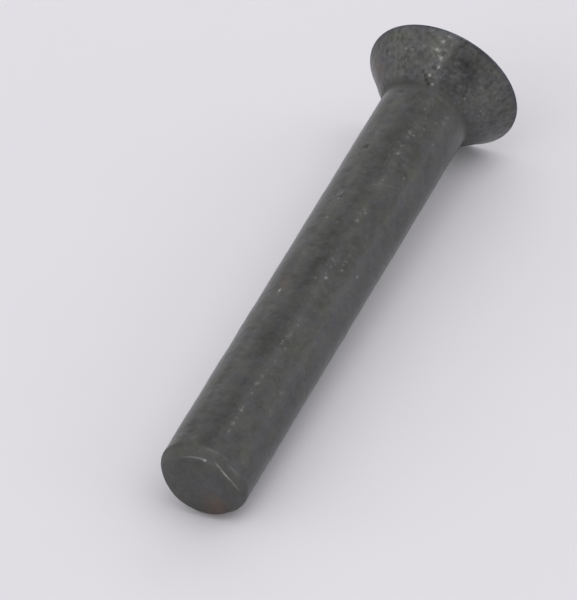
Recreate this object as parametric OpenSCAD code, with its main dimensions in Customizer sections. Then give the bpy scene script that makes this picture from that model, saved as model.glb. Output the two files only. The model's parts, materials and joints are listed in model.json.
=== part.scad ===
// Countersunk rivet, cold headed from steel wire in one piece.
// It stands on the flat of its head: the axis is Z, the flat lies at Z = 0
// and the tail points up. All sizes are in millimetres.

/* [Shank] */
// Diameter of the shank
shank_d = 8; // [6.5:0.1:9.6]
// Length over all, from the flat of the head to the end of the tail
overall_length = 50; // [20:0.5:100]

/* [Head] */
// Diameter of the head across its rim
head_d = 14; // [11.5:0.1:18]
// Angle of the countersunk underside, from side to side
countersink_angle = 75; // [60:1:100]
// Height of the upright land round the rim
rim_land = 0.1; // [0.06:0.01:0.6]
// Radius on the rim, where the flat turns into the land
rim_edge_r = 0.04; // [0.02:0.01:0.05]
// Radius of the fillet where the countersink runs into the shank
neck_r = 0.35; // [0.1:0.05:1.2]

/* [Tail] */
// Length of the taper pressed on the tail by the die
taper_length = 0.95; // [0.6:0.05:2]
// Depth of the taper at the sheared end, in from the side of the shank
taper_depth = 0.65; // [0.3:0.05:1.5]
// Radius of the shoulder between the shank and the taper
shoulder_r = 0.8; // [0.2:0.05:1.2]
// Radius on the edge of the sheared end
end_edge_r = 0.35; // [0.1:0.05:0.6]
// Width that rolled over in shearing, in from the edge of the end
roll_width = 1.55; // [1.2:0.05:2.2]
// Drop of that edge, where the shear blade went in
roll_drop = 0.35; // [0.1:0.01:0.4]

/* [Hidden] */

shank_r = shank_d / 2;
head_r = head_d / 2;
end_r = shank_r - taper_depth;
// The cone falls from the land to the shank at half the countersink angle
cone_height = (head_r - shank_r) / tan(countersink_angle / 2);
head_height = rim_land + cone_height;
taper_start = overall_length - taper_length;
// The roll-over leaves the flat of the end at a quarter of its mean slope, so
// that the edge between them is real, and bends down on one arc from there
roll_slope = atan(roll_drop / roll_width);
roll_break = roll_slope / 4;
roll_r = norm([roll_width, roll_drop]) / 2 / sin(roll_slope - roll_break);

// Corners of half the section, anticlockwise: radius from the axis, height,
// and the radius that the corner is rounded to
CORNERS = [
    [0, 0, 0],
    [head_r, 0, rim_edge_r],
    [head_r, rim_land, 0],
    [shank_r, head_height, neck_r],
    [shank_r, taper_start, shoulder_r],
    [end_r, overall_length, end_edge_r],
    [0, overall_length, 0]
];

// Facets of the drawn arcs; every arc is a true circle in the finished solid
$fn = 96;
// Each arc is drawn this much larger than its corner, so that it always meets
// the sides, whatever the last digits of its centre are
ARC_LAP = 0.0001;

// Neighbours of corner i on the closed outline
function before(i) = (i + len(CORNERS) - 1) % len(CORNERS);
function after(i) = (i + 1) % len(CORNERS);
function place(i) = [CORNERS[i].x, CORNERS[i].y];

// Unit vector from corner i towards corner j
function toward(i, j) = (place(j) - place(i)) / norm(place(j) - place(i));

// Angle between the two sides that meet in corner i
function corner_angle(i) = acos(toward(i, before(i)) * toward(i, after(i)));

// Centre of the arc that touches both sides of corner i
function arc_centre(i) =
    let (bisector = toward(i, before(i)) + toward(i, after(i)))
    place(i) + bisector / norm(bisector) * CORNERS[i].z / sin(corner_angle(i) / 2);

// Point where that arc leaves the side which runs from corner i to corner j
function touch(i, j) = place(i) + toward(i, j) * CORNERS[i].z / tan(corner_angle(i) / 2);

// A corner is hollow where the outline turns to the right
function is_hollow(i) = cross(toward(before(i), i), toward(i, after(i))) < 0;

// Outline with each round corner cut off flat, and each hollow one filled as
// far as the centre of its arc
function blank_corner(i) =
    CORNERS[i].z == 0 ? [place(i)]
    : is_hollow(i) ? [touch(i, before(i)), arc_centre(i), touch(i, after(i))]
    : [touch(i, before(i)), touch(i, after(i))];

// The arcs of the round corners, or of the hollow ones
module corner_arcs(hollow) {
    for (i = [0 : len(CORNERS) - 1])
        if (CORNERS[i].z > 0 && is_hollow(i) == hollow)
            translate(arc_centre(i))
                circle(r = CORNERS[i].z + ARC_LAP);
}

// Half the section: the blank, made full by the round corners and then
// hollowed out by the fillets
module half_section() {
    difference() {
        union() {
            polygon([for (i = [0 : len(CORNERS) - 1]) each blank_corner(i)]);
            corner_arcs(hollow = false);
        }
        corner_arcs(hollow = true);
    }
}

// What the shear bent down on the +X side of the end: all that stands outside
// an arc which rises out of the flat and goes through the dropped edge
module roll_over() {
    crown = end_r - roll_width - roll_r * sin(roll_break);
    rotate([90, 0, 0])
        linear_extrude(height = shank_d, center = true)
            difference() {
                translate([crown, taper_start])
                    square([shank_d - crown, 2 * taper_length]);
                translate([crown, overall_length - roll_r * cos(roll_break)])
                    circle(r = roll_r);
            }
}

// The whole rivet, turned from its half section, less the roll-over
module rivet() {
    color("dimgray")
        difference() {
            rotate_extrude()
                half_section();
            roll_over();
        }
}

rivet();
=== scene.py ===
"""Looks of a solid countersunk rivet, cold headed from dark annealed steel wire.

The rivet stands on the flat of its head at the origin, its axis is Z and its
tail points up. Sizes of the rivet are written in millimetres and turned into
metres where a mesh or the camera is made. Angles round the rivet are in
degrees from +X towards +Y.
"""
import json
import logging
import math
from dataclasses import dataclass, field
from enum import Enum, IntEnum
from typing import Any, ClassVar

import bpy
import numpy as np
from mathutils import Matrix, Vector


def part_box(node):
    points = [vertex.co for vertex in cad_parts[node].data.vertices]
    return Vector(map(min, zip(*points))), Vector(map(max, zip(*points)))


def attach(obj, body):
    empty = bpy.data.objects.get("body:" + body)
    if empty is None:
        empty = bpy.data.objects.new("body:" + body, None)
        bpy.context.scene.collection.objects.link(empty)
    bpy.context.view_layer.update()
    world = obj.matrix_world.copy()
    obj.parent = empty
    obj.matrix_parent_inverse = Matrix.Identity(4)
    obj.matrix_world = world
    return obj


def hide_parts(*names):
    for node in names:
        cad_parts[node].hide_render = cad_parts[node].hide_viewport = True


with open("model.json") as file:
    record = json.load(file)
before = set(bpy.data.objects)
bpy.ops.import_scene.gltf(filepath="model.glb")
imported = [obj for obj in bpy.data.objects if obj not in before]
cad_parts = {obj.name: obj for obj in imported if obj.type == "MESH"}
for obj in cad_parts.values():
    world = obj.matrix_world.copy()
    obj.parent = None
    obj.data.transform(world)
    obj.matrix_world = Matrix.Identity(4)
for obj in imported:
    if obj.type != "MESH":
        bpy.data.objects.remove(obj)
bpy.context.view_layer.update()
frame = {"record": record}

MM = 0.001
NODE = "rivet"
BODY = "root"

log = logging.getLogger("rivet")

Colour = tuple[float, float, float]


def add(name: str, data: bpy.types.ID) -> bpy.types.Object:
    """Puts a mesh or a camera into the scene as an object of this name.

    Args:
        name: the object's name.
        data: the mesh or the camera.

    Returns:
        The object, at the origin.
    """
    made = bpy.data.objects.new(name, data)
    bpy.context.scene.collection.objects.link(made)
    return made


# -------------------- Shader maths --------------------


@dataclass(frozen=True)
class Wire:
    """An output socket that can be added, multiplied and so on, each time by one node.

    socket is None behind a node that has no output.
    """

    shader: "Shader"
    socket: bpy.types.NodeSocket | None

    def _math(self, operation: str, *values: Any, clamp: bool = False) -> "Wire":
        """One Math node on these values."""
        settings = {"operation": operation, "use_clamp": clamp}
        return self.shader.node("ShaderNodeMath", settings, dict(enumerate(values)))

    def __add__(self, other: Any) -> "Wire":
        """self + other"""
        return self._math("ADD", self, other)

    __radd__ = __add__

    def __mul__(self, other: Any) -> "Wire":
        """self * other"""
        return self._math("MULTIPLY", self, other)

    __rmul__ = __mul__

    def __sub__(self, other: Any) -> "Wire":
        """self - other"""
        return self._math("SUBTRACT", self, other)

    def __rsub__(self, other: Any) -> "Wire":
        """other - self"""
        return self._math("SUBTRACT", other, self)

    def __truediv__(self, other: Any) -> "Wire":
        """self / other"""
        return self._math("DIVIDE", self, other)

    def __rtruediv__(self, other: Any) -> "Wire":
        """other / self"""
        return self._math("DIVIDE", other, self)

    def clamp(self) -> "Wire":
        """The value held between 0 and 1."""
        return self._math("ADD", self, 0.0, clamp=True)

    def most(self, other: Any) -> "Wire":
        """The larger of the two values."""
        return self._math("MAXIMUM", self, other)

    def ramp(self, start: float, end: float, low: float = 0.0, high: float = 1.0) -> "Wire":
        """Goes smoothly from low to high while the value goes from start to end.

        Args:
            start: value at which the result is low.
            end: value at which the result is high.
            low: result up to start.
            high: result from end on.

        Returns:
            The smooth step.
        """
        return self.shader.node(
            "ShaderNodeMapRange",
            {"interpolation_type": "SMOOTHSTEP", "clamp": True},
            {"Value": self, "From Min": start, "From Max": end, "To Min": low, "To Max": high},
        )


class Shader:
    """A node tree that is being filled."""

    NOISE_GAIN: ClassVar[float] = 4.0

    def __init__(self, tree: bpy.types.NodeTree) -> None:
        """Takes the node tree of a material or a world, and empties it."""
        self.tree = tree
        self.tree.nodes.clear()

    def node(
        self,
        kind: str,
        settings: dict[str, Any] | None = None,
        inputs: dict[str | int, Any] | None = None,
        output: str | int = 0,
    ) -> Wire:
        """Adds one node, sets it up and feeds its sockets.

        Args:
            kind: the node's type name.
            settings: properties of the node, set before its sockets are fed.
            inputs: value or Wire of each socket, by name or by number.
            output: the socket to hand back.

        Returns:
            The chosen output, as a Wire.
        """
        made = self.tree.nodes.new(kind)
        for name, value in (settings or {}).items():
            setattr(made, name, value)
        for key, value in (inputs or {}).items():
            socket = made.inputs[key]
            if isinstance(value, Wire):
                self.tree.links.new(value.socket, socket)
            elif isinstance(value, tuple) and len(value) == 3 and socket.type == "RGBA":
                socket.default_value = (*value, 1.0)
            else:
                socket.default_value = value
        return Wire(self, made.outputs[output] if made.outputs else None)

    def blend(self, factor: Any, first: Any, second: Any) -> Wire:
        """Goes from the first colour to the second as factor goes from 0 to 1."""
        settings = {"data_type": "RGBA", "clamp_factor": True}
        return self.node("ShaderNodeMix", settings, {0: factor, 6: first, 7: second}, output=2)

    def vector(self, operation: str, *values: Any, output: str | int = 0) -> Wire:
        """One Vector Math node on these vectors.

        Args:
            operation: what it does, such as ADD, or SCALE by a number.
            values: the vectors, or a vector and the number that scales it.
            output: the socket to hand back.

        Returns:
            The result.
        """
        sockets = dict(enumerate(values))
        if operation == "SCALE":
            sockets = {0: values[0], 3: values[1]}
        return self.node("ShaderNodeVectorMath", {"operation": operation}, sockets, output)

    def noise(self, place: Wire, size: float, detail: float = 2.0, seed: float = 0.0) -> Wire:
        """Smooth noise round 0, about from -1 to 1.

        Args:
            place: the point at which the noise is read, in millimetres.
            size: size of its patches, in millimetres.
            detail: number of finer layers.
            seed: picks another noise of the same kind.

        Returns:
            The noise.
        """
        raw = self.node(
            "ShaderNodeTexNoise",
            {"noise_dimensions": "4D"},
            {"Vector": place, "W": seed, "Scale": 1.0 / size, "Detail": detail},
        )
        return (raw - 0.5) * self.NOISE_GAIN

    def stir(self, place: Wire, size: float, reach: float) -> Wire:
        """Moves each point a little by chance, so that a pattern read there is torn.

        Args:
            place: the points.
            size: size of the noise that moves them.
            reach: about how far they move, from one side to the other.

        Returns:
            The moved points.
        """
        inputs = {"Vector": place, "Scale": 1.0 / size, "Detail": 1.0}
        raw = self.node("ShaderNodeTexNoise", {}, inputs, output="Color")
        moved = self.vector("SUBTRACT", raw, (0.5, 0.5, 0.5))
        return self.vector("ADD", place, self.vector("SCALE", moved, 2 * reach))

    def attribute(self, name: str) -> Wire:
        """The value that the mesh holds at each vertex under this name."""
        return self.node("ShaderNodeAttribute", {"attribute_name": name}, output="Fac")


# -------------------- Form of the rivet --------------------


class Zone(IntEnum):
    """Parts of the skin, from the middle of the head's flat to the tail's end."""

    FLAT = 0
    RIM = 1
    CONE = 2
    NECK = 3
    SHANK = 4
    SHOULDER = 5
    TAPER = 6
    END_EDGE = 7
    END = 8


class Part(Enum):
    """Stretches of the skin: first zone, last zone, and how soft their ends are in mm."""

    FLAT = (Zone.FLAT, Zone.FLAT, 0.1)
    HEAD = (Zone.CONE, Zone.CONE, 0.35)
    SHANK = (Zone.NECK, Zone.SHOULDER, 0.35)
    CUT = (Zone.SHOULDER, Zone.END, 0.5)
    TAIL = (Zone.TAPER, Zone.END, 0.3)
    END = (Zone.END, Zone.END, 0.25)


class Layer(Enum):
    """Values that the mesh keeps at its vertices and the finish reads."""

    # Rubbed metal, nicks and the burr's crest, with painted highlights.
    WEAR_AND_HIGHLIGHT = "wear_and_highlight"
    # Painted highlights, where bright flecks crowd.
    GLINT = "glint"
    # Dirt and painted shade.
    SOIL_AND_SHADE = "soil_and_shade"
    RUST = "rust"
    FORGED = "forged"
    RUGGED = "rugged"
    RIM = "rim"


@dataclass(frozen=True)
class Corner:
    """Corner of half the section: radius, height, and what it is rounded to."""

    radius: float
    height: float
    round_to: float = 0.0

    def place(self) -> np.ndarray:
        """The corner as a point of the section."""
        return np.array([self.radius, self.height])


@dataclass
class Outline:
    """Half the section as rows of points, with the way out and the length run."""

    point: np.ndarray
    out: np.ndarray
    run: np.ndarray
    zone: np.ndarray


@dataclass(frozen=True)
class RivetSizes:
    """Sizes of the rivet in millimetres, as a maker would write them down."""

    head_r: float
    shank_r: float
    length: float
    countersink_angle: float = 75.0
    rim_land: float = 0.1
    rim_edge_r: float = 0.04
    neck_r: float = 0.35
    taper_length: float = 0.95
    taper_depth: float = 0.65
    shoulder_r: float = 0.8
    end_edge_r: float = 0.35
    roll_width: float = 1.55
    roll_drop: float = 0.35

    @property
    def end_r(self) -> float:
        """Radius of the sheared end, inside the taper."""
        return self.shank_r - self.taper_depth

    @property
    def head_height(self) -> float:
        """Height at which the cone would meet the shank."""
        fall = (self.head_r - self.shank_r) / math.tan(math.radians(self.countersink_angle / 2))
        return self.rim_land + fall

    @property
    def taper_start(self) -> float:
        """Height at which the shank turns into the taper."""
        return self.length - self.taper_length

    @property
    def lean(self) -> float:
        """Angle between the axis and a floor on which rim and shoulder lie, in radians."""
        return math.atan2(self.head_r - self.shank_r, self.taper_start - self.rim_land)

    def corners(self) -> list[Corner]:
        """Corners of half the section, from the flat's middle to the end's middle.

        Returns:
            The corners, anticlockwise.
        """
        return [
            Corner(0.0, 0.0),
            Corner(self.head_r, 0.0, self.rim_edge_r),
            Corner(self.head_r, self.rim_land),
            Corner(self.shank_r, self.head_height, self.neck_r),
            Corner(self.shank_r, self.taper_start, self.shoulder_r),
            Corner(self.end_r, self.length, self.end_edge_r),
            Corner(0.0, self.length),
        ]


@dataclass(frozen=True)
class RowPlan:
    """Rows of the mesh along each straight run and round each corner."""

    runs: tuple[int, ...] = (36, 2, 36, 276, 15, 22)
    zones: tuple[Zone, ...] = (Zone.FLAT, Zone.RIM, Zone.CONE, Zone.SHANK, Zone.TAPER, Zone.END)
    arcs: tuple[int, ...] = (0, 4, 0, 6, 7, 8, 0)
    arc_zones: tuple[Zone, ...] = (
        Zone.FLAT, Zone.RIM, Zone.RIM, Zone.NECK, Zone.SHOULDER, Zone.END_EDGE, Zone.END,
    )
    around: int = 232


def trace(sizes: RivetSizes, rows: RowPlan) -> Outline:
    """Walks half the section, along its sides and round its corners.

    A round corner is an arc that touches both sides: its centre lies on the
    line that halves the corner, at round_to / sin(half the corner) from it,
    and its points turn evenly from one side's way out to the other's.

    Args:
        sizes: the rivet's sizes.
        rows: number of points on each side and corner.

    Returns:
        The outline from the middle of the flat to the middle of the end.
    """
    corners = sizes.corners()
    points, outs, zones = [np.zeros((1, 2))], [np.array([[0.0, -1.0]])], [np.array([Zone.FLAT])]
    start = corners[0].place()
    for i, corner in enumerate(corners[1:], start=1):
        here, before = corner.place(), corners[i - 1].place()
        along = (here - before) / np.linalg.norm(here - before)
        out = np.array([along[1], -along[0]])
        cut = 0.0
        if i < len(corners) - 1:
            ahead = corners[i + 1].place() - here
            ahead /= np.linalg.norm(ahead)
            next_out = np.array([ahead[1], -ahead[0]])
            half = math.acos(float(np.clip(-along @ ahead, -1, 1))) / 2
            cut = corner.round_to / math.tan(half)
        share = np.linspace(0, 1, rows.runs[i - 1] + 1)[1:, None]
        points.append(start + (here - along * cut - start) * share)
        outs.append(np.repeat(out[None], len(share), axis=0))
        zones.append(np.full(len(share), rows.zones[i - 1]))
        if cut:
            turn = np.linspace(0, 1, rows.arcs[i] + 1)[1:, None]
            middle = ahead - along
            side = 1.0 if out @ middle < 0 else -1.0
            centre = here + middle / np.linalg.norm(middle) * corner.round_to / math.sin(half)
            angle = math.atan2(out[1], out[0])
            sweep = math.atan2(
                out[0] * next_out[1] - out[1] * next_out[0], float(out @ next_out)
            )
            bent = angle + sweep * turn
            arc_out = np.concatenate([np.cos(bent), np.sin(bent)], axis=1)
            points.append(centre + side * corner.round_to * arc_out)
            outs.append(arc_out)
            zones.append(np.full(len(turn), rows.arc_zones[i]))
        start = points[-1][-1]
    point = np.concatenate(points)
    run = np.concatenate([[0.0], np.cumsum(np.linalg.norm(np.diff(point, axis=0), axis=1))])
    return Outline(point, np.concatenate(outs), run, np.concatenate(zones))


# -------------------- Random relief --------------------


@dataclass(frozen=True)
class Unevenness:
    """Smooth random field over points in space, the same in each run.

    seed picks it and cell is the side of its coarsest cells. Layers of ever
    finer cells are added, each gain times as strong as the one before. TURN and
    OFFSET keep the cells' sides away from the rivet's own, and HEIGHT brings
    the values to about -1 to 1.
    """

    seed: int
    cell: float
    layers: int
    gain: float

    SIDE: ClassVar[int] = 32
    TURN: ClassVar[np.ndarray] = np.array([[0.80, -0.48, 0.36], [0.60, 0.64, -0.48], [0.0, 0.60, 0.80]])
    OFFSET: ClassVar[float] = 7.3
    HEIGHT: ClassVar[float] = 1.15
    LAYER_OFFSET: ClassVar[float] = 11.7
    LAYER_RATIO: ClassVar[float] = 2.03

    def over(self, points: np.ndarray) -> np.ndarray:
        """The field's values at these points.

        Args:
            points: places, one in each row.

        Returns:
            Values from about -1 to 1.
        """
        table = np.random.default_rng(self.seed).uniform(-1, 1, (self.SIDE,) * 3)
        strengths = [self.gain ** k for k in range(self.layers)]
        total = sum(
            s * self.layer(table, points + self.LAYER_OFFSET * k, self.cell / self.LAYER_RATIO ** k)
            for k, s in enumerate(strengths)
        )
        return total / math.sqrt(sum(s * s for s in strengths))

    def layer(self, table: np.ndarray, points: np.ndarray, cell: float) -> np.ndarray:
        """Random values at the corners of cubic cells, blended in between.

        The weight of a corner falls from 1 to 0 along each side of its cell as
        1 - (6t^5 - 15t^4 + 10t^3), so the field has no creases. Two lattices
        are added, each turned its own way, so that no row of cells shows.

        Args:
            table: the values at the corners of the cells.
            points: places, one in each row.
            cell: side of a cell.

        Returns:
            Values from about -1 to 1.
        """
        total = np.zeros(len(points))
        for way in (self.TURN, self.TURN @ self.TURN @ self.TURN):
            scaled = points @ way.T / cell + self.OFFSET
            base = np.floor(scaled).astype(int)
            t = scaled - base
            fade = t * t * t * (t * (t * 6 - 15) + 10)
            for corner in np.ndindex(2, 2, 2):
                weight = np.prod(np.where(corner, fade, 1 - fade), axis=1)
                x, y, z = ((base + corner) % self.SIDE).T
                total += weight * table[x, y, z]
        return total * self.HEIGHT


@dataclass(frozen=True)
class Relief:
    """Relief of one part of the skin, in millimetres.

    sunk is its mean depth. waves, lumps and forging say how far the coarse,
    the middle and the sharp field move it from there.
    """

    part: Part
    sunk: float
    waves: float = 0.0
    lumps: float = 0.0
    forging: float = 0.0


@dataclass(frozen=True)
class Pits:
    """Small round dents, strewn by chance.

    radius and depth each run from the smallest to the largest, and shallow is
    the least share of its depth that a pit keeps.
    """

    count: int = 260
    radius: tuple[float, float] = (0.14, 0.4)
    depth: tuple[float, float] = (0.012, 0.05)
    shallow: float = 0.4
    seed: int = 21

    def press(self, skin: np.ndarray, allowed: np.ndarray) -> np.ndarray:
        """Depth of the pits at each point of the skin.

        A pit is a bowl: depth * (1 - (distance / radius)^2)^2 inside radius.

        Args:
            skin: points of the skin.
            allowed: which of them may be the middle of a pit, as a share.

        Returns:
            The depth pressed in at each point.
        """
        rng = np.random.default_rng(self.seed)
        middles = skin[rng.choice(len(skin), self.count, p=allowed / allowed.sum())]
        radius = rng.uniform(*self.radius, self.count)
        depth = rng.uniform(*self.depth, self.count) * rng.uniform(self.shallow, 1, self.count)
        total = np.zeros(len(skin))
        for middle, r, d in zip(middles, radius, depth):
            near = np.abs(skin - middle).max(axis=1) < r
            gap = np.sum((skin[near] - middle) ** 2, axis=1) / (r * r)
            total[near] = np.maximum(total[near], d * np.clip(1 - gap, 0, 1) ** 2)
        return total


@dataclass(frozen=True)
class Patch:
    """A soft patch on the skin.

    turn is its angle from the rivet's scuffed side and height its height up
    the axis. length and width are how far it reaches along the axis and
    across it. radius is only given on the flat faces.
    """

    turn: float
    height: float
    length: float
    width: float
    strength: float = 1.0
    radius: float | None = None


def patch_rows(*rows: tuple[float, ...]) -> tuple[Patch, ...]:
    """Patches from rows of turn, height, length, width, strength and, on a flat, radius."""
    return tuple(Patch(*row) for row in rows)


@dataclass(frozen=True)
class Stroke:
    """One stretch of the burr.

    turns are the angles from the scuffed side at which it starts and ends.
    radii and shines are the edge's radius and how bright its crest is, at its
    start, middle and end; in between, both follow a parabola. The bright crest
    is rubbed metal and partly a painted highlight of the edge.
    """

    turns: tuple[float, float]
    radii: tuple[float, float, float]
    shines: tuple[float, float, float]


@dataclass(frozen=True)
class Burr:
    """Raised edge that the shears and the taper leave round the tail's end.

    width is the half width of its bright crest, and foot how many times wider
    its foot is. It stands at its full height where its shine is at least
    standing. fade is the share of a stroke over which each of its ends dies
    away, wander how far its line strays, and worn and patchy how bright and
    how uneven its shine is. The shine is rubbed metal and partly a painted
    highlight of the edge.
    """

    strokes: tuple[Stroke, ...] = (
        Stroke((8.0, 56.0), (3.49, 3.43, 3.26), (0.60, 0.42, 0.15)),
        Stroke((-62.0, 1.0), (3.70, 3.47, 3.65), (0.15, 0.62, 0.50)),
    )
    width: float = 0.085
    foot: float = 1.6
    height: float = 0.018
    standing: float = 0.5
    fade: float = 0.1
    wander: float = 0.012
    worn_and_highlit: float = 0.95
    patchy: float = 0.25
    wobble: Unevenness = Unevenness(10, 0.7, 2, 0.6)


@dataclass(frozen=True)
class Marks:
    """Marks of making and use on the rivet, with painted highlights and painted
    shade among them, as patches and as bands round it.

    Glints are painted highlights where bright flecks crowd together. chips are
    single bright nicks and partly painted glints, and smudges are rubbed
    patches and partly painted highlights, only smudge_and_highlight_shine as bright as chips.
    soils are dirt and painted shade: painted dark reflection bands along the
    shank and on the cone, a painted shade patch on the cone, and painted
    darkening over a highlight on the tail's shoulder. Gouges are pressed in by
    gouge_depth and are dark. Pits hold pit_soil per millimetre of depth. The
    neck is darkened by painted shade in its crease, with some dirt. The neck
    and the rim are marked over neck_reach and rim_reach, in millimetres.
    """

    scuffed_side: float = -119.9
    gouge_depth: float = 0.05
    smudge_and_highlight_shine: float = 0.3
    pit_soil: float = 10.0
    # Painted shade with some dirt in the neck's crease.
    neck_shade_and_soil: float = 0.04
    neck_shade_and_soil_patchy: float = 0.16
    neck_reach: float = 0.6
    rim_reach: float = 0.24
    end_forged: float = 0.15
    cut_rugged: float = 0.32
    neck_rugged: float = 0.42
    # Painted highlights.
    glints: tuple[Patch, ...] = patch_rows(
        (5, 12.6, 3, 0.45, 1), (3, 15.8, 0.8, 0.55, 0.9), (0, 9.3, 1, 0.6, 0.8),
        (-3, 6.8, 1.6, 0.9, 0.5), (4, 20.5, 2.2, 0.45, 0.5), (2, 26.3, 1.2, 0.45, 0.6),
        (0, 34.2, 1.6, 0.4, 0.7), (5, 42.5, 6, 0.3, 0.9), (-12, 25, 1.6, 0.45, 0.5),
        (-20, 13.5, 2.5, 0.6, 0.5), (-22, 7, 2, 0.7, 0.35), (45, 30.2, 0.5, 0.3, 1),
        (42, 19.5, 2, 0.45, 0.5), (-25, 40.5, 1, 0.8, 0.4), (18, 0.9, 0.45, 0.35, 0.9),
        (17, 1.7, 0.5, 0.28, 1), (13, 2.5, 0.45, 0.22, 0.9), (19, 3.4, 0.3, 0.28, 0.8),
        (40, 2, 0.6, 0.6, 0.5), (-18, 2.9, 0.3, 0.3, 0.6), (-30, 3.3, 0.3, 0.35, 0.5),
        (-50, 2.8, 0.3, 0.5, 0.4),
    )
    # Dirt and painted shade, with painted dark reflection bands.
    soils_and_shade: tuple[Patch, ...] = patch_rows(
        (20, 27, 1, 0.45, 0.45), (21, 36, 1.6, 0.7, 0.35), (23, 10.7, 1.2, 0.6, 0.35),
        (5, 7, 0.6, 0.4, 0.4), (26, 21.2, 0.2, 0.15, 0.5), (5, 0.9, 0.45, 0.38, 0.35),
        (5, 1.6, 0.45, 0.38, 0.5), (4, 2.4, 0.45, 0.38, 0.45), (2, 3.3, 0.45, 0.45, 0.5),
        (-8, 3.5, 0.4, 0.8, 0.35), (-10, 1.5, 0.5, 0.9, 0.3), (-20, 2.2, 0.6, 0.6, 0.2),
        (35, 2.1, 0.3, 0.4, 0.35), (25, 2, 1.6, 1.1, 0.1), (-75, 2, 0.3, 0.4, 0.3),
        (26, 48.3, 0.5, 0.4, 0.4), (5, 47.6, 0.6, 0.5, 0.35), (20, 50, 1, 0.45, 0.35, 2.9),
        (-155, 50, 1, 0.9, 0.35, 3.3), (-130, 50, 1, 0.9, 0.3, 3.4), (-105, 50, 1, 0.8, 0.35, 3.3),
        (-3, 48.95, 0.3, 0.45, 0.4), (-14, 48.98, 0.3, 0.45, 0.4), (-25, 48.9, 0.2, 0.45, 0.35),
    )
    gouges: tuple[Patch, ...] = patch_rows(
        (-9, 1.58, 0.2, 0.16, 0.9), (17, 2.75, 0.19, 0.2, 1.4), (28, 3.2, 0.19, 0.15, 1.3),
        (24, 3.45, 0.19, 0.15, 1.4), (21, 3.7, 0.19, 0.15, 1.4), (17, 3.9, 0.19, 0.15, 1.2),
    )
    rusts: tuple[Patch, ...] = patch_rows(
        (-111, 50, 1, 0.9, 0.55, 2), (-128, 49.7, 1, 1.2, 0.8, 3.25), (45, 29.3, 0.8, 0.45, 0.5),
        (95, 2, 0.9, 1.1, 0.35), (-78, 6, 1.2, 0.6, 0.15),
    )
    # Bright nicks and painted glints.
    chips_and_glints: tuple[Patch, ...] = patch_rows(
        (0, 27.6, 0.17, 0.15, 0.75), (11, 28.1, 0.17, 0.15, 0.45), (3, 25.6, 0.17, 0.15, 0.4),
        (2, 26.3, 0.17, 0.15, 0.4), (-12, 26, 0.17, 0.14, 0.55), (-11, 24.2, 0.17, 0.14, 0.4),
        (-34, 25.3, 0.17, 0.14, 0.6), (45, 30.4, 0.22, 0.14, 0.8), (4, 20.6, 0.22, 0.17, 0.25),
        (0, 19.5, 0.17, 0.14, 0.4), (41, 21.3, 0.2, 0.14, 0.5), (46, 18.4, 0.22, 0.14, 0.45),
        (4, 12.2, 0.17, 0.14, 0.5), (-5, 29.6, 0.17, 0.14, 0.3), (1, 34.6, 0.17, 0.14, 0.35),
        (4, 43.9, 0.17, 0.14, 0.45), (48, 42.5, 0.14, 0.12, 0.4), (28, 0.28, 0.12, 0.14, 0.4),
        (15, 0.38, 0.12, 0.16, 0.6), (18, 0.85, 0.14, 0.16, 0.6), (21, 1.5, 0.16, 0.18, 0.5),
        (15, 1.93, 0.16, 0.14, 0.55), (13, 2.6, 0.16, 0.14, 0.8), (19, 3.33, 0.14, 0.16, 0.75),
        (12, 3.85, 0.12, 0.16, 0.75), (50, 1.7, 0.16, 0.16, 0.55), (43, 2.2, 0.14, 0.14, 0.4),
        (33, 1.48, 0.14, 0.14, 0.4), (3, 0.55, 0.14, 0.14, 0.35), (-14, 0.88, 0.14, 0.14, 0.35),
        (-16, 2.92, 0.14, 0.16, 0.5), (-30, 3.35, 0.12, 0.14, 0.4),
        (11, 49.9, 0.3, 0.13, 0.5, 3.47),
    )
    # Rubbed patches and painted highlights.
    smudges_and_highlights: tuple[Patch, ...] = patch_rows(
        (18, 0.9, 0.4, 0.35, 0.5), (19, 1.6, 0.4, 0.32, 0.9), (14, 2.1, 0.45, 0.24, 1),
        (4, 15.9, 0.4, 0.4, 0.5), (6, 12.5, 1.5, 0.25, 0.5), (-1, 9, 0.8, 0.25, 0.45),
        (4, 19.9, 1.2, 0.25, 0.4), (6, 43, 5, 0.22, 0.4), (60, 48.95, 0.2, 0.6, 0.3),
        (45, 48.95, 0.2, 0.6, 0.4), (30, 48.95, 0.2, 0.6, 0.35), (12, 48.4, 0.4, 0.3, 0.35),
        (-20, 49.2, 0.2, 0.6, 0.7), (-33, 49.2, 0.25, 0.6, 0.8),
    )


# -------------------- Skin of the rivet --------------------


def parabola(values: tuple[float, float, float], share: np.ndarray) -> np.ndarray:
    """The parabola that has these values at the start, middle and end of a stretch.

    Args:
        values: its three values.
        share: places on the stretch, from 0 to 1.

    Returns:
        The value at each place.
    """
    first, middle, last = values
    ends = first * (1 - share) * (1 - 2 * share) + last * share * (2 * share - 1)
    return ends + 4 * middle * share * (1 - share)


def spin(rows: np.ndarray, turn: np.ndarray) -> np.ndarray:
    """Turns rows of (radius, height) round the axis, where the two end rows lie.

    A row becomes a ring of points (radius cos turn, radius sin turn, height),
    and each end row becomes one point, behind all the rings.

    Args:
        rows: radius and height, or way out, of each row.
        turn: the angles, in radians.

    Returns:
        The points, ring after ring, and then the two poles.
    """
    radius, height = rows[:, 0, None], rows[:, 1, None]
    full = np.stack([radius * np.cos(turn), radius * np.sin(turn), height + 0 * turn], axis=2)
    return np.concatenate([full[1:-1].reshape(-1, 3), full[[0, -1], 0]])


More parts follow.
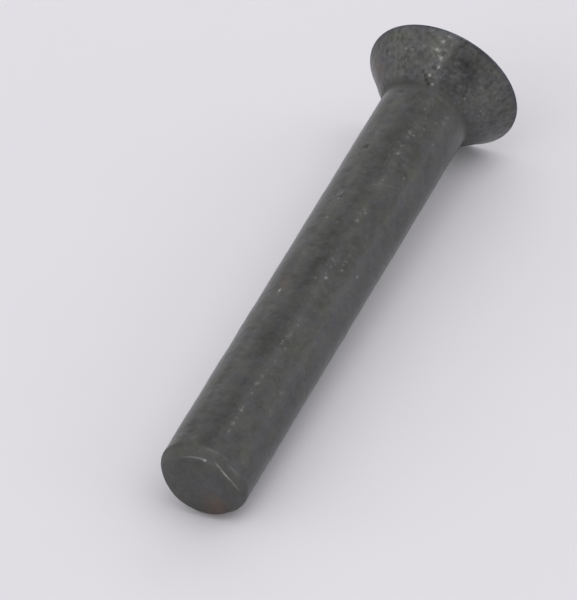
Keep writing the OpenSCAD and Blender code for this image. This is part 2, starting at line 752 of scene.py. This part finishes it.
@dataclass
class Surface:
    """The plain turned skin: points, ways out, run, zone and angle of each.

    pole is the radius, in millimetres, inside which the end is all end.
    """

    skin: np.ndarray
    out: np.ndarray
    run: np.ndarray
    zone: np.ndarray
    angle: np.ndarray
    outline: Outline
    pole: float = 0.2

    @classmethod
    def turned(cls, outline: Outline, around: int) -> "Surface":
        """The surface that the outline sweeps when it is turned round the axis.

        Args:
            outline: half the section.
            around: number of points in each ring.

        Returns:
            The rings, one after the other, and then the two poles.
        """
        turn = np.linspace(0, 2 * math.pi, around, endpoint=False)
        run, zone = (
            np.concatenate([np.repeat(row[1:-1], around), row[[0, -1]]])
            for row in (outline.run, outline.zone)
        )
        angle = np.degrees(np.concatenate([np.tile(turn, len(outline.run) - 2), [0, 0]]))
        return cls(spin(outline.point, turn), spin(outline.out, turn), run, zone, angle, outline)

    def between(self, first: Zone, last: Zone, soft: float) -> np.ndarray:
        """Share from 0 to 1 that a stretch of the outline has of each point.

        Args:
            first: its first zone.
            last: its last zone.
            soft: length over which the share rises and falls, in millimetres.

        Returns:
            The share, half at both ends of the stretch.
        """
        inside = (self.outline.zone >= first) & (self.outline.zone <= last)
        low, high = self.outline.run[inside][[0, -1]]
        rise = np.clip((self.run - low) / soft + 0.5, 0, 1)
        fall = np.clip((high - self.run) / soft + 0.5, 0, 1)
        share = rise * fall
        return share * share * (3 - 2 * share)

    def shares(self) -> dict[Part, np.ndarray]:
        """Share of each part of the skin in each point.

        Returns:
            The shares, from 0 to 1.
        """
        shares = {part: self.between(*part.value) for part in Part}
        at_pole = self.run > self.outline.run[-1] - self.pole
        shares[Part.END] = np.where(at_pole, 1.0, shares[Part.END])
        return shares

    def band(self, zone: Zone, reach: float) -> np.ndarray:
        """A band round the middle of a zone, exp(-(run from there / reach)^2)."""
        middle = self.outline.run[self.outline.zone == zone].mean()
        return np.exp(-((self.run - middle) / reach) ** 2)

    def radius_at(self, height: float) -> float:
        """Radius of the rivet's side at a height."""
        side = self.outline.zone >= Zone.CONE
        return float(np.interp(height, self.outline.point[side, 1], self.outline.point[side, 0]))

    def run_at_radius(self, radius: np.ndarray) -> np.ndarray:
        """Length run at which the tail has shrunk to each radius.

        Args:
            radius: the radii.

        Returns:
            The length run from the flat's middle to each.
        """
        tail = self.outline.zone >= Zone.SHOULDER
        r, run = self.outline.point[tail, 0], self.outline.run[tail]
        return np.interp(-radius, -r, run)


@dataclass
class RivetBody:
    """The whole rivet: its turned form, with the relief of its skin.

    head_pits is how many times more often the head is pitted than the shank.
    roll_play is how far the roll-over is uneven, and roll_start the share of
    its mean slope at which it leaves the flat of the end.
    """

    sizes: RivetSizes
    rows: RowPlan = field(default_factory=RowPlan)
    burr: Burr = field(default_factory=Burr)
    marks: Marks = field(default_factory=Marks)
    pits: Pits = field(default_factory=Pits)
    head_pits: float = 2.5
    waves: Unevenness = Unevenness(4, 2.6, 2, 0.5)
    lumps: Unevenness = Unevenness(5, 0.95, 3, 0.6)
    forging: Unevenness = Unevenness(6, 0.75, 3, 0.7)
    reliefs: tuple[Relief, ...] = (
        Relief(Part.SHANK, 0.025, waves=0.012, lumps=0.008),
        Relief(Part.HEAD, 0.035, waves=0.014, forging=0.015),
        Relief(Part.END, 0.030, lumps=0.030),
        Relief(Part.CUT, 0.007, lumps=0.012),
        Relief(Part.FLAT, 0.008, lumps=0.004),
    )
    roll_play: float = 0.006
    roll_start: float = 0.25
    name: str = "rivet_body"

    def build(self) -> bpy.types.Object:
        """Makes the mesh, closed at both poles, with its vertex values.

        Returns:
            The rivet's object, at the origin.
        """
        surface = Surface.turned(trace(self.sizes, self.rows), self.rows.around)
        skin, values = self.finish_skin(surface)
        mesh = bpy.data.meshes.new(self.name)
        mesh.from_pydata(skin * MM, [], self.faces(len(skin) // self.rows.around))
        for layer, value in values.items():
            kept = mesh.attributes.new(layer.value, "FLOAT", "POINT")
            kept.data.foreach_set("value", value.astype(np.float32))
        mesh.polygons.foreach_set("use_smooth", [True] * len(mesh.polygons))
        mesh.update()
        mesh.validate()
        log.info("%s: %d vertices, %d faces", self.name, len(mesh.vertices), len(mesh.polygons))
        return add(self.name, mesh)

    def dress(self, body: bpy.types.Object) -> None:
        """Gives the rivet its finish, and tells the frame what it is and replaces.

        Args:
            body: the rivet's object.
        """
        body.data.materials.append(DarkSteel().make())
        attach(body, BODY)
        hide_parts(NODE)

    def faces(self, rows: int) -> list[tuple[int, ...]]:
        """Squares between neighbouring rings, and a fan of triangles at each pole.

        Args:
            rows: number of rings.

        Returns:
            The faces, each as its vertices' numbers, pointing outwards.
        """
        n = self.rows.around
        here = np.arange(n)
        there = (here + 1) % n
        ring = np.arange(rows - 1)[:, None] * n
        squares = np.stack([ring + here, ring + there, ring + n + there, ring + n + here], axis=2)
        bottom, top, last = rows * n, rows * n + 1, (rows - 1) * n
        foot = np.stack([np.full(n, bottom), there, here], axis=1)
        crown = np.stack([np.full(n, top), last + here, last + there], axis=1)
        return squares.reshape(-1, 4).tolist() + foot.tolist() + crown.tolist()

    def finish_skin(self, s: Surface) -> tuple[np.ndarray, dict[Layer, np.ndarray]]:
        """Presses the relief into the turned form and marks what it did.

        Every move goes inwards or down, so the rivet stays inside its sizes.

        Args:
            s: the plain turned skin.

        Returns:
            The finished skin and the values to keep at its vertices.
        """
        on = s.shares()
        waves, lumps, forging = (f.over(s.skin) for f in (self.waves, self.lumps, self.forging))
        pits = self.pits.press(s.skin, on[Part.SHANK] + self.head_pits * on[Part.HEAD])
        gouges = self.cover(s, self.marks.gouges)
        ridge, shine = self.burr_line(s)

        depth = np.zeros(len(s.skin))
        for r in self.reliefs:
            uneven = r.waves * waves + r.lumps * lumps + r.forging * forging
            depth += on[r.part] * (uneven + r.sunk)
        depth += pits * (on[Part.SHANK] + on[Part.HEAD])
        depth += self.marks.gouge_depth * np.clip(gouges, 0, 1)
        depth += on[Part.TAIL] * self.burr.height * (1 - ridge)
        skin = s.skin - s.out * np.clip(depth, 0, None)[:, None]
        limit = self.roll_line(skin[:, 0]) - on[Part.TAIL] * self.roll_play * (1 + lumps)
        skin[:, 2] = np.minimum(skin[:, 2], limit)
        flat = s.zone == Zone.FLAT
        skin[flat, 2] = np.maximum(skin[flat, 2], 0.0)
        dents = gouges + self.marks.pit_soil * pits
        return skin, self.vertex_values(s, on, lumps, dents, shine)

    def vertex_values(
        self,
        s: Surface,
        on: dict[Part, np.ndarray],
        lumps: np.ndarray,
        dents: np.ndarray,
        shine: np.ndarray,
    ) -> dict[Layer, np.ndarray]:
        """What the finish has to know at each point of the skin.

        Args:
            s: the plain turned skin.
            on: share of each part of the skin.
            lumps: the middle random field.
            dents: how dirty the pits and gouges are.
            shine: how bright the burr's crest is, rubbed metal and partly a painted highlight.

        Returns:
            The values, from 0 to 1.
        """
        m = self.marks
        neck = s.band(Zone.NECK, m.neck_reach)
        # Painted shade in the crease between head and shank, patchy, with some dirt.
        neck_shade_and_soil = neck * np.clip(m.neck_shade_and_soil + m.neck_shade_and_soil_patchy * lumps, 0, 1)
        rugged = m.cut_rugged * on[Part.CUT] + m.neck_rugged * neck
        values = {
            # Bright: the burr's crest, rubbed patches and nicks, with painted highlights among them.
            Layer.WEAR_AND_HIGHLIGHT: shine + m.smudge_and_highlight_shine * self.cover(s, m.smudges_and_highlights) + self.cover(s, m.chips_and_glints),
            # Painted highlights, where bright flecks crowd.
            Layer.GLINT: self.cover(s, m.glints),
            # Dark: dirt, dirty dents, painted shade and painted dark reflections.
            Layer.SOIL_AND_SHADE: self.cover(s, m.soils_and_shade) + dents + neck_shade_and_soil,
            Layer.RUST: self.cover(s, m.rusts),
            Layer.FORGED: on[Part.HEAD] + m.end_forged * on[Part.END],
            Layer.RUGGED: np.minimum(rugged, m.neck_rugged),
            Layer.RIM: s.band(Zone.RIM, m.rim_reach),
        }
        return {layer: np.clip(value, 0, 1) for layer, value in values.items()}

    def cover(self, s: Surface, patches: tuple[Patch, ...]) -> np.ndarray:
        """How much of these patches lies at each point of the skin.

        A patch falls off as exp(-(rise / length)^2 - (across / width)^2), with
        rise the distance along the axis from its middle and across the rest.

        Args:
            s: the plain turned skin.
            patches: the patches.

        Returns:
            Their sum.
        """
        total = np.zeros(len(s.skin))
        for patch in patches:
            a = math.radians(self.marks.scuffed_side + patch.turn)
            radius = s.radius_at(patch.height) if patch.radius is None else patch.radius
            rise = (s.skin[:, 2] - patch.height) / patch.length
            across = s.skin[:, :2] - radius * np.array([math.cos(a), math.sin(a)])
            spread = rise ** 2 + np.sum(across ** 2, axis=1) / patch.width ** 2
            total += patch.strength * np.exp(-spread)
        return total

    def roll_line(self, x: np.ndarray) -> np.ndarray:
        """Height of the roll-over's arc above each x, and no limit before it.

        The arc leaves the flat end at roll_start of its mean slope and goes
        through the dropped edge, as a circle of the radius that this gives.

        Args:
            x: distances from the axis towards the rolled side.

        Returns:
            The highest that the skin may be there.
        """
        z = self.sizes
        slope = math.atan2(z.roll_drop, z.roll_width)
        leave = slope * self.roll_start
        radius = math.hypot(z.roll_width, z.roll_drop) / 2 / math.sin(slope - leave)
        crown = z.end_r - z.roll_width - radius * math.sin(leave)
        gap = np.clip(x - crown, 0, radius)
        arc = z.length - radius * math.cos(leave) + np.sqrt(radius ** 2 - gap ** 2)
        return np.where(x > crown, arc, 2 * z.length)

    def burr_line(self, s: Surface) -> tuple[np.ndarray, np.ndarray]:
        """How much of the burr stands at each point, and how bright its crest is, as
        rubbed metal and partly a painted highlight.

        Across the burr both fall off as exp(-(distance / width)^2), and the
        distance is the length run over the skin from the burr's own line. Along
        a stroke, the line's radius and the shine follow a parabola each.

        Args:
            s: the plain turned skin.

        Returns:
            The burr's height as a share, and its shine from 0 to 1.
        """
        burr, tail = self.burr, s.zone >= Zone.SHOULDER
        ridge, shine = np.zeros(len(s.skin)), np.zeros(len(s.skin))
        wobble = burr.wobble.over(s.skin)
        brightest = burr.worn_and_highlit + burr.patchy
        for stroke in burr.strokes:
            start, end = stroke.turns
            share = (s.angle - self.marks.scuffed_side - start) % 360 / (end - start)
            ends = np.clip(np.minimum(share, 1 - share) / burr.fade, 0, 1)
            bright = parabola(stroke.shines, np.clip(share, 0, 1)) * ends
            radius = parabola(stroke.radii, np.clip(share, 0, 1))
            gap = (s.run - s.run_at_radius(radius) - burr.wander * wobble) / burr.width
            crest, foot = np.exp(-gap ** 2) * tail, np.exp(-(gap / burr.foot) ** 2) * tail
            ridge = np.maximum(ridge, foot * np.clip(bright / burr.standing, 0, 1))
            patchy = np.clip(burr.worn_and_highlit + burr.patchy * wobble, 0, brightest)
            shine = np.maximum(shine, crest * bright * patchy)
        return ridge, shine


# -------------------- Finishes --------------------


@dataclass(frozen=True)
class Noise:
    """A noise in a finish, and what it does there.

    size is that of its patches in millimetres, detail the number of finer
    layers, and seed picks it. shade is how much it lightens and darkens the
    colour, forged how much more it does so on forged skin, and bump is its
    height in millimetres.
    """

    size: float
    detail: float
    seed: float
    shade: float = 0.0
    forged: float = 0.0
    bump: float = 0.0

    def on(self, sh: Shader, place: Wire) -> Wire:
        """The noise itself, at a place in millimetres."""
        return sh.noise(place, self.size, self.detail, self.seed)


def new_finish(name: str) -> tuple[bpy.types.Material, Shader, Wire]:
    """Starts a material.

    Args:
        name: its name.

    Returns:
        The material, its empty shader, and the place on the object in millimetres.
    """
    material = bpy.data.materials.new(name)
    material.use_nodes = True
    sh = Shader(material.node_tree)
    return material, sh, sh.vector("SCALE", sh.node("ShaderNodeTexCoord", output="Object"), 1 / MM)


@dataclass(frozen=True)
class Specks:
    """Small spots, one in some of the cells of a Voronoi pattern.

    size is the distance between cells in millimetres, share the share of the
    cells that have a spot, crowd the further share where the spots' own mark
    is, and radius that of the largest spots. seed picks the pattern. plain is
    how strongly a spot shows, and marked and forged what their own mark and
    forged skin add to that. A spot is at its largest where its cell's chance
    reaches SURE, and rises over the share SLOPE of its radius.
    """

    size: float
    share: float
    crowd: float
    radius: float
    seed: float
    plain: float
    marked: float
    forged: float

    SURE: ClassVar[float] = 1.1
    SLOPE: ClassVar[float] = 0.7
    LEAST_WIDTH: ClassVar[float] = 1e-4

    def strewn(self, sh: Shader, place: Wire, mark: Wire, forged: Wire) -> Wire:
        """The spots, each a cone from its cell's middle, with a smooth top.

        Args:
            sh: the shader.
            place: where the pattern is read, in millimetres.
            mark: where spots of this kind crowd together.
            forged: where the skin is forged.

        Returns:
            The spots, from 0 to their strength.
        """
        settings = {"voronoi_dimensions": "3D", "feature": "F1"}
        shifted = sh.vector("ADD", place, (self.seed, 3 * self.seed, -self.seed))
        inputs = {"Vector": shifted, "Scale": 1 / self.size}
        distance = sh.node("ShaderNodeTexVoronoi", settings, inputs, output="Distance")
        chance = sh.node("ShaderNodeTexVoronoi", settings, inputs, output="Color")
        drawn = sh.node("ShaderNodeSeparateColor", {}, {"Color": chance})
        chosen = drawn + mark * self.crowd
        width = chosen.ramp(1 - self.share, self.SURE, 0.0, self.radius / self.size)
        spots = (1.0 - distance / width.most(self.LEAST_WIDTH)).ramp(0.0, self.SLOPE)
        return spots * (self.plain + self.marked * mark + self.forged * forged)


@dataclass(frozen=True)
class DarkSteel:
    """Bare steel under a dull, dark annealing skin, with its specks and rust,
    and with painted highlights and painted shade in its colour.

    The cover values say how much of the skin a mark hides, the rough values
    what each thing adds to the roughness, and the bump values how many times
    higher the bump is there. The fine noise is calm in some places and busy in
    others, as lively goes from the first to the second of its marks.
    """

    skin: Colour = (0.112, 0.112, 0.110)
    olive: Colour = (0.115, 0.117, 0.106)
    blue: Colour = (0.110, 0.110, 0.118)
    rim: Colour = (0.086, 0.090, 0.112)
    # Bare metal of flecks, nicks and the burr's crest; also the colour of painted highlights.
    bright: Colour = (0.42, 0.41, 0.39)
    rust: Colour = (0.140, 0.086, 0.062)
    # Dark of specks and dirt; also the colour of painted shade.
    soot_and_shade: Colour = (0.045, 0.045, 0.043)
    edge: Colour = (0.91, 0.91, 0.91)

    cloud: Noise = Noise(2.8, 2.0, 1.0, shade=0.11)
    mottle: Noise = Noise(0.85, 3.0, 2.0, shade=0.12)
    blot: Noise = Noise(0.42, 1.0, 10.0, shade=0.06, forged=0.22, bump=0.0022)
    fine: Noise = Noise(0.22, 1.0, 3.0, shade=0.045, forged=0.085, bump=0.0014)
    grain: Noise = Noise(0.12, 1.0, 9.0, shade=0.02, forged=0.03, bump=0.0009)
    lively: Noise = Noise(1.6, 1.0, 11.0)
    lively_marks: tuple[float, float] = (-0.5, 0.7)
    calm_and_busy: tuple[float, float] = (0.4, 1.5)
    tint: Noise = Noise(1.3, 3.0, 4.0)

    # Bright specks; their marked share crowds them as painted highlights.
    flakes: Specks = Specks(0.80, 0.22, 0.60, 0.34, 4.0, plain=0.05, marked=0.26, forged=0.05)
    flecks: Specks = Specks(0.42, 0.25, 0.55, 0.17, 5.0, plain=0.16, marked=0.28, forged=0.10)
    crumbs: Specks = Specks(0.30, 0.22, 0.30, 0.11, 6.0, plain=0.12, marked=0.12, forged=0.16)
    # Dark specks, which crowd and darken more where dirt and painted shade are.
    grime_and_shade: Specks = Specks(0.70, 0.25, 0.40, 0.28, 7.0, plain=0.17, marked=0.40, forged=0.20)
    torn_size: float = 0.30
    torn_reach: float = 0.28

    darkest: float = 0.25
    rugged_shade: float = 0.35
    full_tint: float = 0.8
    rim_cover: float = 0.9
    soil_and_shade_cover: float = 0.75
    soil_and_shade_patchy: float = 0.2
    rust_cover: float = 0.9
    rust_share: float = 0.85
    rust_patchy: float = 0.5
    rust_metal: float = 0.75
    worn_and_highlit_from: float = 0.05

    roughness: float = 0.30
    mottle_rough: float = 0.04
    fine_rough: float = 0.03
    forged_rough: float = 0.06
    rust_rough: float = 0.30
    bright_rough: float = -0.10
    forged_bump: float = 1.8
    rugged_bump: float = 4.0
    name: str = "dark_steel_skin"

    def make(self) -> bpy.types.Material:
        """Builds the material.

        Returns:
            The material, driven by object coordinates and vertex values.
        """
        material, sh, place = new_finish(self.name)
        torn = sh.stir(place, self.torn_size, self.torn_reach)
        wear_and_highlight, glint, soil_and_shade, rust, forged, rugged, rim = (sh.attribute(at.value) for at in Layer)
        mottle, blot, fine, grain = (
            noise.on(sh, place) for noise in (self.mottle, self.blot, self.fine, self.grain)
        )

        # Bright specks, which crowd and shine more where the glint mark paints highlights.
        flakes = self.flakes.strewn(sh, torn, glint, forged)
        flecks = self.flecks.strewn(sh, torn, glint, forged)
        crumbs = self.crumbs.strewn(sh, place, glint, forged)
        bright = flakes.most(flecks).most(crumbs)
        # Dark specks, dirt and painted shade from the dark mark.
        grime_and_shade = self.grime_and_shade.strewn(sh, torn, soil_and_shade, forged)
        grime_and_shade = grime_and_shade.most(soil_and_shade * (self.soil_and_shade_cover + self.soil_and_shade_patchy * (mottle + blot)))
        rusty = (rust * (self.rust_share + self.rust_patchy * mottle)).clamp()
        # Rubbed metal, nicks and painted highlights.
        worn_and_highlit = wear_and_highlight.ramp(self.worn_and_highlit_from, 1.0)

        lively = self.lively.on(sh, place).ramp(*self.lively_marks, *self.calm_and_busy)
        tone = 1.0 + self.cloud.shade * self.cloud.on(sh, place) + self.mottle.shade * mottle
        for noise, value in ((self.blot, blot), (self.fine, fine * lively), (self.grain, grain)):
            tone = tone + (noise.shade + noise.forged * forged) * value
        tone = (tone + self.rugged_shade * rugged).most(self.darkest)

        colour = self.tinted(sh, place)
        colour = sh.blend(rim * self.rim_cover, colour, self.rim)
        colour = sh.vector("SCALE", colour, tone)
        rust_coat = (rusty * self.rust_cover, self.rust)
        # The dark coat lays dirt and painted shade, the bright coats flecks, rubbed metal and painted
        # highlights.
        for cover, coat in ((grime_and_shade, self.soot_and_shade), rust_coat, (bright, self.bright), (worn_and_highlit, self.bright)):
            colour = sh.blend(cover, colour, coat)

        rough = self.roughness + self.mottle_rough * mottle + self.fine_rough * fine
        rough = rough + self.forged_rough * forged + rugged + self.rust_rough * rusty
        rough = rough + self.bright_rough * (bright + worn_and_highlit)

        sharp = 1.0 + self.forged_bump * forged + self.rugged_bump * rugged
        height = (blot * self.blot.bump + fine * self.fine.bump) * sharp + grain * self.grain.bump
        bump = sh.node("ShaderNodeBump", {}, {"Strength": 1.0, "Distance": MM, "Height": height})
        surface = sh.node(
            "ShaderNodeBsdfPrincipled",
            {},
            {
                "Base Color": colour,
                "Metallic": (1.0 - self.rust_metal * rusty).clamp(),
                "Specular Tint": self.edge,
                "Roughness": rough.clamp(),
                "Normal": bump,
            },
        )
        sh.node("ShaderNodeOutputMaterial", {}, {"Surface": surface})
        return material

    def tinted(self, sh: Shader, place: Wire) -> Wire:
        """The skin's colour, which strays to olive here and to blue there.

        Args:
            sh: the shader.
            place: where it is read, in millimetres.

        Returns:
            The colour.
        """
        tint = self.tint.on(sh, place)
        colour = sh.blend(tint.ramp(0.0, self.full_tint), self.skin, self.olive)
        return sh.blend((0.0 - tint).ramp(0.0, self.full_tint), colour, self.blue)


@dataclass(frozen=True)
class PaleBoard:
    """The matt, pale board on which the rivet lies."""

    colour: Colour = (0.812, 0.794, 0.837)
    cloud: Noise = Noise(6.0, 3.0, 1.0, shade=0.004)
    name: str = "pale_board"

    def make(self) -> bpy.types.Material:
        """Builds the material, which only its front shows.

        Returns:
            The material.
        """
        material, sh, place = new_finish(self.name)
        tone = 1.0 + self.cloud.shade * self.cloud.on(sh, place)
        board = sh.node("ShaderNodeBsdfDiffuse", {}, {"Color": sh.vector("SCALE", self.colour, tone)})
        clear = sh.node("ShaderNodeBsdfTransparent")
        behind = sh.node("ShaderNodeNewGeometry", output="Backfacing")
        seen = sh.node("ShaderNodeMixShader", {}, {0: behind, 1: board, 2: clear})
        sh.node("ShaderNodeOutputMaterial", {}, {"Surface": seen})
        return material


# -------------------- Studio --------------------


@dataclass(frozen=True)
class Glow:
    """A soft patch of the studio's light: where it is, how wide, how bright.

    turn goes round the board from straight away from the camera towards its
    right, rise is the angle above the board, soft is half the width of its
    edge, and gain is what it multiplies the plain light by.
    """

    turn: float
    rise: float
    radius: float
    soft: float
    gain: float


@dataclass
class Studio:
    """Board, light and camera round the rivet, which lies on rim and shoulder.

    azimuth and elevation say from where the camera looks, bank how far it is
    rolled about its own axis, and aim what it looks at, in millimetres. plain
    is the light where no glow is, core the least radius of a glow in degrees,
    and clip the nearest and farthest that the camera sees, in metres.
    """

    sizes: RivetSizes
    azimuth: float = -119.93
    elevation: float = 36.49
    bank: float = -148.54
    distance: float = 638.5
    aim: tuple[float, float, float] = (2.38, 0.67, 27.39)
    lens: float = 450.0
    sensor: float = 36.0
    clip: tuple[float, float] = (0.01, 20.0)
    board_half: float = 1500.0
    plain: float = 1.105
    core: float = 0.5
    glows: tuple[Glow, ...] = (
        Glow(165, 31, 30, 9, 0.36),
        Glow(36, 60, 15, 5, 0.48),
        Glow(245, 40, 30, 18, 0.83),
        Glow(130, 70, 25, 5, 1.75),
        Glow(90, 33, 25, 12, 0.52),
        Glow(-40, 60, 30, 5, 0.55),
        Glow(220, 47, 8, 8, 1.40),
        Glow(120, 33, 30, 5, 1.50),
        Glow(320, 17, 20, 5, 0.45),
    )

    def build(self) -> None:
        """Makes the board, the light and the camera."""
        self.board()
        self.light()
        self.camera()

    def up_from_board(self) -> Vector:
        """The way straight up from the board, which leans on rim and shoulder."""
        lean = self.sizes.lean
        return Vector((0, -math.cos(lean), -math.sin(lean)))

    def back(self) -> Vector:
        """The way from what the camera looks at to the camera."""
        a, e = math.radians(self.azimuth), math.radians(self.elevation)
        return Vector((math.cos(a) * math.cos(e), math.sin(a) * math.cos(e), math.sin(e)))

    def direction(self, turn: float, rise: float) -> Vector:
        """The way to a place over the board.

        Args:
            turn: degrees from straight away from the camera, towards its right.
            rise: degrees above the board.

        Returns:
            The way there, of length 1.
        """
        up = self.up_from_board()
        away = -self.back()
        away = (away - away.dot(up) * up).normalized()
        right = away.cross(up)
        t, r = math.radians(turn), math.radians(rise)
        return math.cos(r) * (math.cos(t) * away + math.sin(t) * right) + math.sin(r) * up

    def board(self) -> None:
        """Lays a flat board through the rim's land and the tail's shoulder, on +Y."""
        lean, half = self.sizes.lean, self.board_half
        along = Vector((0, -math.sin(lean), math.cos(lean)))
        touch = Vector((0, self.sizes.head_r, self.sizes.rim_land))
        side = Vector((1, 0, 0))
        corners = [
            (touch + side * x * half + along * z * half) * MM
            for x, z in ((-1, -1), (1, -1), (1, 1), (-1, 1))
        ]
        mesh = bpy.data.meshes.new("board")
        mesh.from_pydata(corners, [], [(0, 1, 2, 3)])
        mesh.update()
        made = add("board", mesh)
        made.data.materials.append(PaleBoard().make())
        log.info("board leans %.2f degrees", math.degrees(lean))

    def light(self) -> None:
        """Makes soft light from all round, with brighter and darker patches in it.

        A patch multiplies the light, and its edge is a smooth step of the cosine
        of the angle from its middle.
        """
        world = bpy.data.worlds.new("studio")
        world.use_nodes = True
        bpy.context.scene.world = world
        sh = Shader(world.node_tree)
        way = sh.vector("NORMALIZE", sh.node("ShaderNodeTexCoord", output="Generated"))
        level: Any = self.plain
        for glow in self.glows:
            toward = tuple(self.direction(glow.turn, glow.rise))
            near = sh.vector("DOT_PRODUCT", way, toward, output="Value")
            outer = math.cos(math.radians(glow.radius + glow.soft))
            inner = math.cos(math.radians(max(glow.radius - glow.soft, self.core)))
            level = near.ramp(outer, inner, 1.0, glow.gain) * level
        light = sh.node("ShaderNodeBackground", {}, {"Color": (1.0, 1.0, 1.0), "Strength": level})
        sh.node("ShaderNodeOutputWorld", {}, {"Surface": light})

    def camera(self) -> None:
        """Sets up a long lens that looks down on the board."""
        back = self.back()
        level = Vector((0, 0, 1)).cross(back).normalized()
        rise = back.cross(level)
        b = math.radians(self.bank)
        right = math.cos(b) * level + math.sin(b) * rise
        up = back.cross(right)
        data = bpy.data.cameras.new("camera")
        data.lens = self.lens
        data.sensor_width = self.sensor
        data.clip_start, data.clip_end = self.clip
        made = add("camera", data)
        place = (Vector(self.aim) + back * self.distance) * MM
        turn = Matrix((right, up, back)).transposed().to_4x4()
        made.matrix_world = Matrix.Translation(place) @ turn
        bpy.context.scene.camera = made


# -------------------- Making --------------------


def sizes_from_frame() -> RivetSizes:
    """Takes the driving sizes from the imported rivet.

    Returns:
        The rivet's sizes in millimetres.
    """
    low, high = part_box(NODE)
    shank = next(m for m in frame["record"]["mounts"] if m["name"] == "shank")
    return RivetSizes(
        head_r=round((high.x - low.x) / 2 / MM, 3),
        shank_r=float(shank["dims"]["r_mm"]),
        length=round((high.z - low.z) / MM, 3),
    )


def main() -> None:
    """Builds the rivet's skin and the studio."""
    logging.basicConfig(level=logging.INFO, format="%(name)s: %(message)s")
    bpy.context.scene.view_settings.view_transform = "Standard"
    sizes = sizes_from_frame()
    log.info("head %.2f, shank %.2f, length %.2f mm", sizes.head_r, sizes.shank_r, sizes.length)
    rivet = RivetBody(sizes)
    rivet.dress(rivet.build())
    Studio(sizes).build()
    bpy.context.view_layer.update()


if __name__ == "__main__":
    main()
